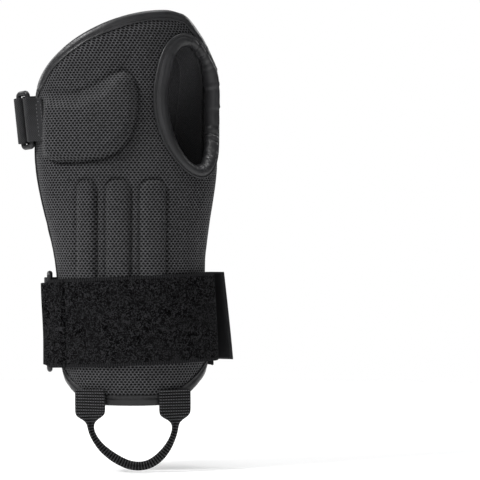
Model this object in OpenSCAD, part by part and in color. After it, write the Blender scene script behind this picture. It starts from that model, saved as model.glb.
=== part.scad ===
// Snow-sport wrist guard for the right hand: a padded palm shell and a padded back panel that
// wrap the hand and forearm, drawn together by two hook-and-loop straps that turn round plastic rings.
// +Z runs from the cuff to the fingers, -Y is the palm side, +X is the thumb side.
// Angles round the tube: 0 thumb side, 90 back of the hand, 180 little-finger (ulnar) side, 270 palm.

/* [Tube] */
// Half the tube's width at the cuff, at the middle of its padding
cuff_half_w = 38.6; // [37.5:0.1:39.5]
// Half the tube's width across the knuckles, at the middle of its padding
hand_half_w = 48.9; // [48:0.1:50]
// Half the tube's depth at the cuff
cuff_half_d = 24; // [23:0.5:25]
// Half the tube's depth across the palm
hand_half_d = 20.5; // [19.5:0.5:21.5]
// How far the hand end leans back, towards the back of the hand
hand_lean = 7; // [4:0.5:8]
// Height of the finger edge at its highest point
finger_edge_h = 223.5; // [220:0.5:226]

/* [Layers] */
// Outer face of the mesh cover, above the middle of the padding
cover_out = 3.8; // [3.7:0.1:3.9]
// Thickness of the mesh cover
cover_t = 1.2; // [1:0.1:1.3]
// Thickness of the plastic splints
splint_t = 1.4; // [1:0.1:1.4]
// Thickness of the foam
foam_t = 2.4; // [2:0.1:2.6]
// Thickness of the lining
lining_t = 0.8; // [0.5:0.1:0.9]
// Width of the leatherette binding round every edge
binding_w = 5.2; // [4.5:0.1:5.4]
// Height of the slider pad in the heel of the palm
pad_h = 5; // [4:0.5:5.5]

/* [Straps] */
// Width of the hand strap
hand_strap_w = 26; // [25:0.5:27]
// Width of the forearm strap
forearm_strap_w = 50; // [48:0.5:51]
// Height of the hand strap's ring above the cuff
hand_strap_z = 161.5; // [160:0.5:164]
// Height of the forearm strap's middle above the cuff
forearm_strap_z = 47; // [46:0.5:48]
// Slope of the hand strap across the back of the hand, in degrees
hand_strap_tilt = 6; // [4:0.5:7]
// Thickness of one layer of strap
strap_t = 1.2; // [0.9:0.1:1.2]

/* [Rings] */
// Radius of the rings' bars
bar_r = 1.5; // [1.3:0.05:1.6]
// Distance between a ring's two long bars
bar_gap = 8; // [7.5:0.1:8.5]

/* [Hidden] */

mesh_black = [0.10, 0.10, 0.11];
leather_black = [0.16, 0.16, 0.17];
pile_black = [0.07, 0.07, 0.08];
web_black = [0.13, 0.13, 0.14];
foam_grey = [0.25, 0.25, 0.26];
plastic_black = [0.06, 0.06, 0.06];
print_white = [0.93, 0.93, 0.93];

fit = 0.15;          // air left between two soft pieces that lie on each other
bead_h = 3.9;        // half the thickness of a binding
edge_inset = binding_w + fit;

// ---- the tube that every soft piece follows ----

function smooth(t) = let (c = min(1, max(0, t))) c * c * (3 - 2 * c);
function lerp(a, b, t) = a + (b - a) * t;
function unit(v) = v / norm(v);

wrist_z = 70;        // the tube starts to widen towards the hand here
hand_z = 145;        // and has its full width here
taper_z = 182;       // above this it narrows towards the fingers
taper_len = 45;
finger_taper = 6.8;
finger_shift = -3.7;
cuff_x = 4.8;
hand_x = -0.9;

function half_w(z) = cuff_half_w + (hand_half_w - cuff_half_w) * smooth((z - wrist_z) / (hand_z - wrist_z))
    - finger_taper * smooth((z - taper_z) / taper_len);
function half_d(z) = lerp(cuff_half_d, hand_half_d, smooth((z - 60) / 100));
function mid_x(z) = lerp(cuff_x, hand_x, smooth(z / hand_z)) + finger_shift * smooth((z - taper_z) / taper_len);
function mid_y(z) = hand_lean * smooth((z - 100) / 125);

// A point at an angle and a height, off millimetres outside the middle of the padding
function skin(phi, z, off) = let (a = half_w(z), b = half_d(z), n = unit([b * cos(phi), a * sin(phi)]))
    [mid_x(z) + a * cos(phi) + off * n.x, mid_y(z) + b * sin(phi) + off * n.y, z];
// The angle at which the back of the tube's outer face has this x
function back_angle(x, z) = acos(min(1, max(-1, (x - mid_x(z)) / (half_w(z) + cover_out))));
function back_skin(x, z, off) = skin(back_angle(x, z), z, off);

// ---- outlines ----

ulnar_edge = 188;
function thumb_edge(z) = 369 + 10 * smooth((z - wrist_z) / (hand_z - wrist_z));
peak_angle = 309;
function finger_edge(phi) = phi < peak_angle
    ? finger_edge_h - 43.5 * pow((peak_angle - phi) / 121, 2)
    : finger_edge_h - 2 * smooth((phi - peak_angle) / 22) - 15.5 * smooth((phi - 325) / 36) - 10 * smooth((phi - 350) / 32);
function cuff_edge(phi) = let (d = abs(phi - 266) - 38) 0.2 * (d + sqrt(d * d + 64));

dorsal_top = 220;
dorsal_bottom = 0.6;
function dorsal_mid(z) = 0.4 + 1.6 * smooth(z / 100) + 1.8 * smooth((z - 170) / 30);
function dorsal_cap(z) = let (low = min(1, max(0, (z - dorsal_bottom) / 24)), high = min(1, max(0, (dorsal_top - z) / 34)))
    sqrt(1 - pow(1 - low, 2)) * sqrt(1 - pow(1 - high, 2));
function dorsal_half(z) = (36.5 - 4.2 * smooth((z - 10) / 95) + 9 * smooth((z - 108) / 75)) * dorsal_cap(z);

// ---- solids from grids of points ----

function flat(rows) = [for (row = rows) each row];
function volume6(points, faces) = let (parts = [for (f = faces) points[f[0]] * cross(points[f[1]], points[f[2]])])
    parts * [for (p = parts) 1];
function facing_out(points, faces) = volume6(points, faces) > 0 ? [for (f = faces) [f[0], f[2], f[1]]] : faces;
module closed_mesh(points, faces) { polyhedron(points, facing_out(points, faces)); }

// A sheet with thickness: two grids of the same size, joined round their rims
module sheet_solid(outer, inner) {
    rows = len(outer);
    cols = len(outer[0]);
    n = rows * cols;
    rim = concat(
        [for (c = [0:cols - 1]) c],
        [for (r = [1:rows - 1]) r * cols + cols - 1],
        [for (c = [cols - 2:-1:0]) (rows - 1) * cols + c],
        [for (r = [rows - 2:-1:1]) r * cols]
    );
    faces = concat(
        [for (r = [0:rows - 2], c = [0:cols - 2], k = [0, 1]) let (i = r * cols + c)
            k == 0 ? [i, i + cols, i + cols + 1] : [i, i + cols + 1, i + 1]],
        [for (r = [0:rows - 2], c = [0:cols - 2], k = [0, 1]) let (i = n + r * cols + c)
            k == 0 ? [i, i + cols + 1, i + cols] : [i, i + 1, i + cols + 1]],
        [for (j = [0:len(rim) - 1], k = [0, 1]) let (p = rim[j], q = rim[(j + 1) % len(rim)])
            k == 0 ? [p, q, q + n] : [p, q + n, p + n]]
    );
    closed_mesh(concat(flat(outer), flat(inner)), faces);
}

// A run of rings of points, joined one to the next, and capped or closed into a loop
module loft(rings, looped = false) {
    n = len(rings[0]);
    last = len(rings) - 1;
    sides = [for (i = [0:looped ? last : last - 1], k = [0:n - 1], t = [0, 1])
        let (j = (i + 1) % (last + 1), m = (k + 1) % n)
        t == 0 ? [i * n + k, i * n + m, j * n + m] : [i * n + k, j * n + m, j * n + k]];
    caps = looped ? [] : concat(
        [for (k = [1:n - 2]) [0, k + 1, k]],
        [for (k = [1:n - 2]) [last * n, last * n + k, last * n + k + 1]]
    );
    closed_mesh(flat(rings), concat(sides, caps));
}

// ---- palm shell ----

palm_cols = 30;
palm_rows = 16;

function palm_point(u, v, off) = let (
    guess = lerp(ulnar_edge, thumb_edge(120), u),
    z = lerp(cuff_edge(guess) + edge_inset, finger_edge(guess) - edge_inset, v))
    skin(lerp(ulnar_edge, thumb_edge(z), u), z, off);
function palm_grid(off, lift = 0) = [for (r = [0:palm_rows]) [for (c = [0:palm_cols])
    let (u = c / palm_cols, v = r / palm_rows, p = palm_point(u, v, 0))
    palm_point(u, v, off + lift * pad_shape(p.x, p.z, 1.3) * smooth((u - 0.05) / 0.16))]];

// The slider pad's outline: 1 at its middle, 0 outside it
pad_x = -20;
pad_z = 164;
pad_half_w = 25;
pad_half_h = 21;
function pad_radius(x, z) = let (t = 8, dx = x - pad_x, dz = z - pad_z,
    p = (dx * cos(t) + dz * sin(t)) / pad_half_w, q = (dz * cos(t) - dx * sin(t)) / pad_half_h)
    pow(pow(abs(p), 3) + pow(abs(q), 3), 1 / 3);
function pad_shape(x, z, wide) = 1 - smooth((pad_radius(x, z) / wide - 0.72) / 0.28);

hole_angle = 325;
hole_z = 169;
hole_half_angle = 35;
hole_lean = 4;       // the hole's lower end sits further round the thumb side
hole_half_h = 40.5;
hole_steps = 34;
// A point on the thumb hole's outline, inset along the shell by a distance
function hole_point(t, inset, off) = let (shrink = 1 - inset / hole_half_h, wide = 1 - inset / 23)
    skin(hole_angle + (hole_half_angle * cos(t) - hole_lean * sin(t)) * wide, hole_z + hole_half_h * shrink * sin(t), off);
function hole_ring(inset, off) = [for (i = [0:hole_steps - 1]) hole_point(i * 360 / hole_steps, inset, off)];

module hole_cutter() { loft([hole_ring(20, -9), hole_ring(0, -9), hole_ring(0, 14), hole_ring(20, 16)]); }
// resize() with no size has the cut made on the meshes, which all layers share
module palm_layer(low, high, lift = 0) {
    resize([0, 0, 0]) difference() {
        sheet_solid(palm_grid(high, lift), palm_grid(low, lift));
        hole_cutter();
    }
}

foam_low = -foam_t;
lining_low = foam_low - lining_t;

module palm_cover() { color(mesh_black) palm_layer(cover_out - cover_t, cover_out, pad_h + 1.4); }
module palm_foam() { color(foam_grey) palm_layer(foam_low, 0); }
module palm_lining() { color(mesh_black) palm_layer(lining_low, foam_low); }

// A patch of the tube between two angles and two heights, which may depend on the angle
module patch(from, to, low, high, inner, outer, cols = 8, rows = 8) {
    function at(c, r, off) = let (phi = lerp(from, to, c / cols)) skin(phi, lerp(low, high, r / rows), off);
    sheet_solid([for (r = [0:rows]) [for (c = [0:cols]) at(c, r, outer)]],
                [for (r = [0:rows]) [for (c = [0:cols]) at(c, r, inner)]]);
}

// The moulded splint that stops the wrist from bending back
module palm_splint() {
    rows = 16;
    cols = 6;
    function at(c, r, off) = let (z = lerp(14, 190, r / rows))
        skin(lerp(237, 299 - 17 * smooth((z - 96) / 26), c / cols), z, off);
    color(plastic_black) sheet_solid(
        [for (r = [0:rows]) [for (c = [0:cols]) at(c, r, fit + splint_t)]],
        [for (r = [0:rows]) [for (c = [0:cols]) at(c, r, fit)]]);
}

// middle and half width of each rib pad, widest towards the thumb
ribs = [[-22, 5.5], [-4, 6.7], [15.6, 7.1]];
module palm_rib_pads() {
    rows = 8;
    function at(rib, c, r, off) = let (z = lerp(24, 127, r / rows))
        skin(360 - back_angle(rib[0] + rib[1] * (c - 1), z), z, off);
    color(foam_grey) for (rib = ribs) sheet_solid(
        [for (r = [0:rows]) [for (c = [0:2]) at(rib, c, r, cover_out - cover_t - fit)]],
        [for (r = [0:rows]) [for (c = [0:2]) at(rib, c, r, fit * 2 + splint_t)]]);
}

// A domed disc on the tube, made of rings from its rim to its middle
module palm_slider_pad() {
    low = splint_t + 2 * fit;
    sectors = 28;
    function at(r, t, off) = let (k = pow(pow(abs(cos(t)), 3) + pow(abs(sin(t)), 3), -1 / 3),
        p = pad_half_w * r * k * cos(t), q = pad_half_h * r * k * sin(t),
        x = pad_x + p * cos(8) - q * sin(8), z = pad_z + p * sin(8) + q * cos(8),
        phi = 360 - back_angle(x, z)) skin(phi, z, off);
    shares = [0.92, 0.84, 0.68, 0.45, 0.2, 0.03];
    heights = [0.45, 0.8, 0.95, 1, 1, 1];
    top = [for (i = [0:5]) [for (s = [0:sectors - 1]) at(shares[i], s * 360 / sectors, low + pad_h * heights[i])]];
    bottom = [for (i = [5:-1:0]) [for (s = [0:sectors - 1]) at(shares[i], s * 360 / sectors, low)]];
    color(plastic_black) loft(concat(bottom, top));
}

// ---- bindings: a bead of tape that stands just off an edge ----

function bead_ring(edge, inward, along, w, h) = let (
    out = unit(edge - inward),
    up = unit(cross(along, out)),
    centre = edge + out * (w / 2 + fit))
    [for (t = [0:36:324]) centre + out * (w / 2 * cos(t)) + up * (h * sin(t))];
function bead(edges, inwards, looped = false, w = binding_w, h = bead_h) = let (n = len(edges))
    [for (i = [0:n - 1]) let (
        before = edges[looped ? (i + n - 1) % n : max(0, i - 1)],
        after = edges[looped ? (i + 1) % n : min(n - 1, i + 1)])
        bead_ring(edges[i], inwards[i], unit(after - before), w, h)];

mid_off = (cover_out + lining_low) / 2;
function palm_edge_points(at, at_inside) = [for (i = [0:len(at) - 1]) [
    palm_point(at[i][0], at[i][1], mid_off), palm_point(at_inside[i][0], at_inside[i][1], mid_off)]];
module palm_edge_bead(at, at_inside, w = binding_w, h = bead_h) {
    pairs = palm_edge_points(at, at_inside);
    loft(bead([for (p = pairs) p[0]], [for (p = pairs) p[1]], false, w, h));
}

edge_steps = 36;
module finger_edge_binding() {
    color(leather_black) palm_edge_bead(
        [for (i = [0:edge_steps]) [i / edge_steps, 1]],
        [for (i = [0:edge_steps]) [i / edge_steps, 0.97]]);
}
module cuff_edge_binding() {
    color(leather_black) palm_edge_bead(
        [for (i = [0:edge_steps]) [i / edge_steps, 0]],
        [for (i = [0:edge_steps]) [i / edge_steps, 0.03]]);
}
module ulnar_edge_binding() {
    color(leather_black) palm_edge_bead(
        [for (i = [0:20]) [0, i / 20]],
        [for (i = [0:20]) [0.03, i / 20]]);
}
module thumb_edge_facing() {
    color(leather_black) palm_edge_bead(
        [for (i = [0:20]) [1, i / 20]],
        [for (i = [0:20]) [0.97, i / 20]]);
}
hole_binding_w = 7.2;
module thumb_hole_binding() {
    color(leather_black) loft(bead(hole_ring(0, mid_off), hole_ring(-3, mid_off), true, hole_binding_w, bead_h), true);
}

// ---- back panel ----

dorsal_cols = 16;
dorsal_rows = 24;
// Heights are packed towards the round ends
function dorsal_z(v, inset) = lerp(dorsal_bottom + inset, dorsal_top - inset, (1 - cos(180 * v)) / 2);
function dorsal_inset_half(z, inset) = let (
    low = min(1, max(0, (z - dorsal_bottom - inset) / (24 - inset))),
    high = min(1, max(0, (dorsal_top - inset - z) / (34 - inset))))
    (dorsal_half(max(min(z, 184), 25)) - inset) * sqrt(1 - pow(1 - low, 2)) * sqrt(1 - pow(1 - high, 2));
function dorsal_point(u, v, inset, off) = let (z = dorsal_z(v, inset), w = max(1.5, dorsal_inset_half(z, inset)))
    back_skin(dorsal_mid(z) + w * (1 - 2 * u), z, off);
function dorsal_grid(off) = [for (r = [0:dorsal_rows]) [for (c = [0:dorsal_cols])
    dorsal_point(c / dorsal_cols, r / dorsal_rows, edge_inset, off)]];
module dorsal_layer(low, high) { sheet_solid(dorsal_grid(high), dorsal_grid(low)); }

module dorsal_cover() { color(mesh_black) dorsal_layer(cover_out - cover_t, cover_out); }
module dorsal_foam() { color(foam_grey) dorsal_layer(foam_low, 0); }
module dorsal_lining() { color(mesh_black) dorsal_layer(lining_low, foam_low); }

stay_angles = [68, 90, 112];
module dorsal_stays() {
    color(plastic_black) for (a = stay_angles)
        patch(a - 5, a + 5, 24, 190, fit, fit + splint_t, 3, 12);
}

dorsal_edge_steps = 22;
module dorsal_binding() {
    sides = [
        for (i = [0:dorsal_edge_steps]) [0, i / dorsal_edge_steps],
        for (i = [dorsal_edge_steps:-1:0]) [1, i / dorsal_edge_steps]
    ];
    edges = [for (s = sides) dorsal_point(s[0], s[1], edge_inset, mid_off)];
    inwards = [for (s = sides) dorsal_point(s[0] == 0 ? 0.1 : 0.9, lerp(0.04, 0.96, s[1]), edge_inset + 2, mid_off)];
    color(leather_black) loft(bead(edges, inwards, true), true);
}

// Stretch fabric that joins the back panel's lining to the palm shell's, inside the thumb side
gusset_t = 0.6;
module thumb_side_gusset() {
    rows = 14;
    cols = 8;
    function at(c, r, off) = let (z = lerp(30, 186, r / rows),
        from = thumb_edge(z) - 366,
        to = back_angle(dorsal_mid(z) + dorsal_half(z) - edge_inset - 5, z))
        skin(lerp(from, to, c / cols), z, off);
    color(mesh_black) sheet_solid(
        [for (r = [0:rows]) [for (c = [0:cols]) at(c, r, lining_low - 1.2)]],
        [for (r = [0:rows]) [for (c = [0:cols]) at(c, r, lining_low - 1.2 - gusset_t)]]);
}

// ---- rings ----

// A closed loop of round bar in the plane of X and Z, with its first long bar on the Z axis
module bar_ring(inside_len) {
    corner = 1.8;
    long = inside_len - 2 * (corner - bar_r);
    short = bar_gap - 2 * corner;
    color(plastic_black) for (side = [0, 1]) {
        translate([-side * bar_gap, 0, -long / 2]) cylinder(r = bar_r, h = long, $fn = 48);
        translate([-bar_gap / 2 - short / 2, 0, (2 * side - 1) * (long / 2 + corner)])
            rotate([0, 90, 0]) cylinder(r = bar_r, h = short, $fn = 48);
        for (end = [-1, 1])
            translate([-side * bar_gap + (side == 0 ? -corner : corner), 0, end * long / 2])
                rotate([90 * end, 0, 0]) rotate([0, 0, side == 0 ? 0 : 90])
                    rotate_extrude(angle = 90, $fn = 48) translate([corner, 0]) circle(r = bar_r, $fn = 48);
    }
}

strap_low = bead_h + 0.95;                // inner face of the base layer
strap_mid = strap_low + strap_t;          // its outer face
patch_t = 0.6;
lay_gap = 0.3;                            // air between the free end and what it lies on
free_low = strap_mid + lay_gap + patch_t + 0.05; // inner face of the free layer
turn_low = bar_r + 0.35;                  // inner radius of the strap's turn round a bar

// Each ring: the middle of its fixed bar, and the angle to its outer bar
hand_bar = [-55, -5.8, hand_strap_z];
hand_ring_angle = 132;
hand_outer_bar = hand_bar + bar_gap * [cos(hand_ring_angle), sin(hand_ring_angle), 0];
forearm_bar = [-43.6, -5, forearm_strap_z];
forearm_ring_angle = 96;
forearm_outer_bar = forearm_bar + bar_gap * [cos(forearm_ring_angle), sin(forearm_ring_angle), 0];

module at_hand_ring() { translate(hand_bar) rotate([0, -hand_strap_tilt, 0]) children(); }
module at_forearm_ring() { translate(forearm_bar) children(); }

module hand_ring() { at_hand_ring() rotate([0, 0, hand_ring_angle - 180]) bar_ring(hand_strap_w + 1.5); }
module forearm_ring() { at_forearm_ring() rotate([0, 0, forearm_ring_angle - 180]) bar_ring(forearm_strap_w + 1.5); }

// Half a turn of strap round a bar on the Z axis
module strap_turn(w, from, sweep) {
    translate([0, 0, -w / 2]) rotate([0, 0, from])
        rotate_extrude(angle = sweep, $fn = 64) translate([turn_low, 0]) square([strap_t, w]);
}

// ---- hand strap ----

// The strap's straight reach from its ring to the back of the hand leaves at this angle
function reach_angle(bar, p) = atan2(p.y - bar.y, p.x - bar.x);
hand_leave_x = -36;
forearm_leave_angle = 148;
lay_mid = (strap_mid + free_low) / 2;
hand_reach_angle = reach_angle(hand_outer_bar, back_skin(hand_leave_x, hand_strap_z, lay_mid));
forearm_reach_angle = reach_angle(forearm_outer_bar, skin(forearm_leave_angle, forearm_strap_z, lay_mid));

module hand_strap_turn() {
    color(web_black) at_hand_ring() rotate([0, 0, 0])
        translate([bar_gap * cos(hand_ring_angle), bar_gap * sin(hand_ring_angle), 0])
            strap_turn(hand_strap_w, hand_reach_angle + 90, 180);
}

// Rings of a strap: four corners at each place along it
function strap_ring(low_in, high_in, low_out, high_out) = [low_in, high_in, high_out, low_out];

// Where the strap lies on the back of the hand: x of its middle, and how far it is from its bar
function hand_edge(x, side) = let (w = hand_strap_w / 2 * side)
    [x - w * sin(hand_strap_tilt), hand_strap_z + (x - hand_outer_bar.x) * tan(hand_strap_tilt) + w * cos(hand_strap_tilt)];
function hand_skin_ring(x, low, high) = let (a = hand_edge(x, -1), b = hand_edge(x, 1)) strap_ring(
    back_skin(a[0], a[1], low), back_skin(b[0], b[1], low), back_skin(a[0], a[1], high), back_skin(b[0], b[1], high));
// A ring at the bar, on the strap's inner or outer path
function hand_bar_ring(gap, radius_low, radius_high) = let (
    out = [-sin(hand_reach_angle), cos(hand_reach_angle), 0],
    along = [cos(hand_reach_angle), sin(hand_reach_angle), 0],
    up = [-sin(hand_strap_tilt), 0, cos(hand_strap_tilt)] * hand_strap_w / 2,
    p = hand_outer_bar + along * gap)
    strap_ring(p - up + out * radius_low, p + up + out * radius_low, p - up + out * radius_high, p + up + out * radius_high);

hand_tip_x = 31;
hand_anchor_x = 48;
module hand_strap_pile_base() {
    color(pile_black) loft(concat(
        [hand_bar_ring(1.2, -turn_low - strap_t, -turn_low)],
        [for (x = [hand_leave_x:4:40]) hand_skin_ring(x, strap_low, strap_mid)],
        [for (x = [42:2:hand_anchor_x]) hand_skin_ring(x, strap_low, strap_mid)]));
}
module hand_strap_free_end() {
    color(web_black) loft(concat(
        [hand_bar_ring(3.2, turn_low, turn_low + strap_t)],
        [for (x = [hand_leave_x - 1:4:hand_tip_x - 3]) hand_skin_ring(x, free_low, free_low + strap_t)],
        [hand_skin_ring(hand_tip_x, free_low, free_low + strap_t)]));
}
module hand_strap_hook_patch() {
    color(pile_black) loft([for (x = [-21:4:hand_tip_x - 2]) hand_skin_ring(x, strap_mid + lay_gap, strap_mid + lay_gap + patch_t)]);
}

// The webbing tab that holds the ring's fixed bar: an eye round the bar, and a tongue on the palm shell
eye_r = turn_low + 1;
// The eye's tongue lies on its inner side, along the cover
module keeper(w, angle, len) {
    translate([0, 0, -w / 2]) linear_extrude(w) difference() {
        union() {
            circle(r = eye_r, $fn = 64);
            rotate(angle) translate([0, turn_low + 0.2]) square([len, 0.7]);
        }
        circle(r = turn_low, $fn = 64);
    }
}
module hand_ring_keeper() { color(web_black) at_hand_ring() keeper(hand_strap_w - 1, -66, 4.5); }

// ---- forearm strap ----

forearm_low = forearm_strap_z - forearm_strap_w / 2;
forearm_high = forearm_strap_z + forearm_strap_w / 2;
function forearm_skin_ring(phi, low, high) = strap_ring(
    skin(phi, forearm_low, low), skin(phi, forearm_high, low), skin(phi, forearm_low, high), skin(phi, forearm_high, high));
function forearm_bar_ring(bar, angle, gap, radius_low, radius_high) = let (
    out = [-sin(angle), cos(angle), 0],
    along = [cos(angle), sin(angle), 0],
    up = [0, 0, forearm_strap_w / 2],
    p = bar + along * gap)
    strap_ring(p - up + out * radius_low, p + up + out * radius_low, p - up + out * radius_high, p + up + out * radius_high);

band_low = cover_out + 0.3;
band_t = 1.6;
band_leave_angle = 224;
// Pile band across the palm side, round the thumb side and on to the back
module forearm_pile_band() {
    reach = reach_angle(forearm_bar, skin(band_leave_angle, forearm_strap_z, band_low + band_t / 2)) ;
    color(pile_black) loft(concat(
        [forearm_bar_ring(forearm_bar, reach, 0, -eye_r - 0.1 - band_t, -eye_r - 0.1)],
        [for (phi = [band_leave_angle:6:356]) let (lift = 3.6 * smooth((phi - 316) / 36))
            forearm_skin_ring(phi, band_low + band_t + lift, band_low + lift)]));
}
module forearm_band_loop() { color(pile_black) at_forearm_ring() keeper(forearm_strap_w - 0.5, -62, 6.5); }
module forearm_strap_base() {
    color(web_black) loft(concat(
        [for (phi = [-2:6:forearm_leave_angle]) forearm_skin_ring(phi, strap_low, strap_mid)],
        [forearm_bar_ring(forearm_outer_bar, forearm_reach_angle, 1.2, -turn_low - strap_t, -turn_low)]));
}
module forearm_strap_turn() {
    color(web_black) translate(forearm_outer_bar) strap_turn(forearm_strap_w, forearm_reach_angle + 90, 180);
}
forearm_tip_reach = 17;   // how far the free end stands out past the thumb side
module forearm_strap_free_end() {
    color(web_black) loft(concat(
        [forearm_bar_ring(forearm_outer_bar, forearm_reach_angle, 3.2, turn_low, turn_low + strap_t)],
        [for (phi = [forearm_leave_angle:-6:28]) forearm_skin_ring(phi, free_low, free_low + strap_t)],
        [forearm_tip_ring(free_low, free_low + strap_t)]));
}
function forearm_tip_ring(low, high) = let (s = forearm_skin_ring(28, low, high))
    [for (p = s) p + forearm_tip_reach * [0.86, -0.51, 0]];
module forearm_strap_hook_patch() {
    color(pile_black) loft([for (phi = [88:-6:28]) forearm_skin_ring(phi, strap_mid + lay_gap, strap_mid + lay_gap + patch_t)]);
}
// A plain printed stripe along the free end, in place of any lettering
module forearm_strap_print() {
    print_t = 0.12;
    low = free_low + strap_t + 0.05;
    half = 14;
    color(print_white) loft([for (phi = [130:-6:34]) strap_ring(
        skin(phi, forearm_strap_z - half, low), skin(phi, forearm_strap_z + half, low),
        skin(phi, forearm_strap_z - half, low + print_t), skin(phi, forearm_strap_z + half, low + print_t))]);
}

// ---- pull loop ----

tab_low = -6;                       // the tabs reach this far below the cuff
tab_high = 9.5;
anchor_low = bead_h + 0.65;
web_t = 1.5;
tab_angles = [[222, 247], [290, 316]];
function tab_mid(i) = skin((tab_angles[i][0] + tab_angles[i][1]) / 2, tab_low, anchor_low + web_t / 2);
loop_ends = [tab_mid(0), tab_mid(1)];
loop_low = -36.5;

module loop_anchor(i) {
    rows = 4;
    cols = 6;
    function at(c, r, off) = skin(lerp(tab_angles[i][0], tab_angles[i][1], c / cols), lerp(tab_low, tab_high, r / rows), off);
    color(web_black) sheet_solid(
        [for (r = [0:rows]) [for (c = [0:cols]) at(c, r, anchor_low + web_t)]],
        [for (r = [0:rows]) [for (c = [0:cols]) at(c, r, anchor_low)]]);
}
module pull_loop_anchor_ulnar() { loop_anchor(0); }
module pull_loop_anchor_thumb() { loop_anchor(1); }

// The webbing is folded to a narrow band round the loop and opens out at its two ends
module pull_loop() {
    steps = 32;
    middle = (loop_ends[0] + loop_ends[1]) / 2;
    half_w = 25.6;
    top = tab_low - 2;
    function at(t) = let (angle = 180 + 180 * t, c = cos(angle), s = -sin(angle))
        [middle.x + half_w * sign(c) * pow(abs(c), 1.1), middle.y, top + (loop_low + 2.4 - top) * pow(max(0, s), 1.25)];
    function ring_at(t) = let (
        along = unit(at(min(1, t + 0.01)) - at(max(0, t - 0.01))),
        flare = smooth((abs(2 * t - 1) - 0.72) / 0.2),
        half_width = lerp(2.3, 3.8, flare),
        half_thick = lerp(1.9, 0.8, flare),
        side = unit((1 - flare) * [along.z, 0, -along.x] + flare * [sign(along.z), 0, 0]),
        p = at(t))
        [for (k = [0:45:315]) p + side * (half_width * cos(k)) + [0, half_thick * sin(k), 0]];
    color(web_black) loft([for (i = [0:steps]) ring_at(i / steps)]);
}

palm_cover();
palm_foam();
palm_lining();
palm_splint();
palm_rib_pads();
palm_slider_pad();
finger_edge_binding();
cuff_edge_binding();
ulnar_edge_binding();
thumb_edge_facing();
thumb_hole_binding();
dorsal_cover();
dorsal_foam();
dorsal_lining();
dorsal_stays();
dorsal_binding();
thumb_side_gusset();
hand_ring_keeper();
hand_strap_pile_base();
hand_ring();
hand_strap_turn();
hand_strap_free_end();
hand_strap_hook_patch();
forearm_pile_band();
forearm_band_loop();
forearm_strap_base();
forearm_ring();
forearm_strap_turn();
forearm_strap_free_end();
forearm_strap_hook_patch();
forearm_strap_print();
pull_loop_anchor_ulnar();
pull_loop_anchor_thumb();
pull_loop();
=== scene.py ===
import math

import bpy
import numpy as np
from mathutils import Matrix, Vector


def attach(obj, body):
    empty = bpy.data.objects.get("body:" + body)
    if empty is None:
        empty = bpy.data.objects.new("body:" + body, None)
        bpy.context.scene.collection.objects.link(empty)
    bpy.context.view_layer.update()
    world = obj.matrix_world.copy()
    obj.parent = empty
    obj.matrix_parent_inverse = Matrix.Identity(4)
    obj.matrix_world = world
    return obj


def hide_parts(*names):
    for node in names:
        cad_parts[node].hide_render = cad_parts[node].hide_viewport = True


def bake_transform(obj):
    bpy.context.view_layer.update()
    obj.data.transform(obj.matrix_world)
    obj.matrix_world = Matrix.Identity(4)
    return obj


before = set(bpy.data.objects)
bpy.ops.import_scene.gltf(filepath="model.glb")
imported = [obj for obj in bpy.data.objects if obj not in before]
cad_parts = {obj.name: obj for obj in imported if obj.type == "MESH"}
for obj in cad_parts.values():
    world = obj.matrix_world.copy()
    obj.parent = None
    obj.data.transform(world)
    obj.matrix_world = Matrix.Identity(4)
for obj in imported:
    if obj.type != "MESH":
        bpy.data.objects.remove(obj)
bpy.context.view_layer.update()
MM = 0.001


# -------- the tube, as in the CAD (millimetres, degrees)

def smooth(t):
    t = np.clip(t, 0, 1)
    return t * t * (3 - 2 * t)


def lerp(a, b, t):
    return a + (b - a) * t


def hump(x, w):
    return np.exp(-(x / w) ** 2)


def cosd(a):
    return np.cos(np.radians(a))


def sind(a):
    return np.sin(np.radians(a))


def half_w(z):
    return 38.6 + 10.3 * smooth((z - 70) / 75) - 6.8 * smooth((z - 182) / 45)


def half_d(z):
    return lerp(24.0, 20.5, smooth((z - 60) / 100))


def mid_x(z):
    return lerp(4.8, -0.9, smooth(z / 145)) - 3.7 * smooth((z - 182) / 45)


def mid_y(z):
    return 7 * smooth((z - 100) / 125)


def skin(phi, z, off=0.0):
    """Points on the tube at an angle and a height, off millimetres outside its middle surface."""
    phi, z, off = np.broadcast_arrays(*(np.asarray(v, float) for v in (phi, z, off)))
    a, b, c, s = half_w(z), half_d(z), cosd(phi), sind(phi)
    nx, ny = b * c, a * s
    n = np.hypot(nx, ny)
    return np.stack([mid_x(z) + a * c + off * nx / n, mid_y(z) + b * s + off * ny / n, z], -1)


def arc(phi, z):
    """Millimetres along the tube per degree."""
    return np.hypot(half_w(z) * sind(phi), half_d(z) * cosd(phi)) * math.pi / 180


COVER = 3.8


def back_angle(x, z):
    return np.degrees(np.arccos(np.clip((x - mid_x(z)) / (half_w(z) + COVER), -1, 1)))


def thumb_edge(z):
    return 369 + 10 * smooth((z - 70) / 75)


def finger_edge(phi):
    low = 223.5 - 43.5 * (np.maximum(309 - phi, 0) / 121) ** 2
    high = 223.5 - 2 * smooth((phi - 309) / 22)
    high = high - 15.5 * smooth((phi - 325) / 36) - 10 * smooth((phi - 350) / 32)
    return np.where(phi < 309, low, high)


def cuff_edge(phi):
    d = np.abs(phi - 266) - 38
    return 0.2 * (d + np.sqrt(d * d + 64))


def dorsal_mid(z):
    return 0.4 + 1.6 * smooth(z / 100) + 1.8 * smooth((z - 170) / 30)


D_LOW, D_TOP = 0.6, 220.0


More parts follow.
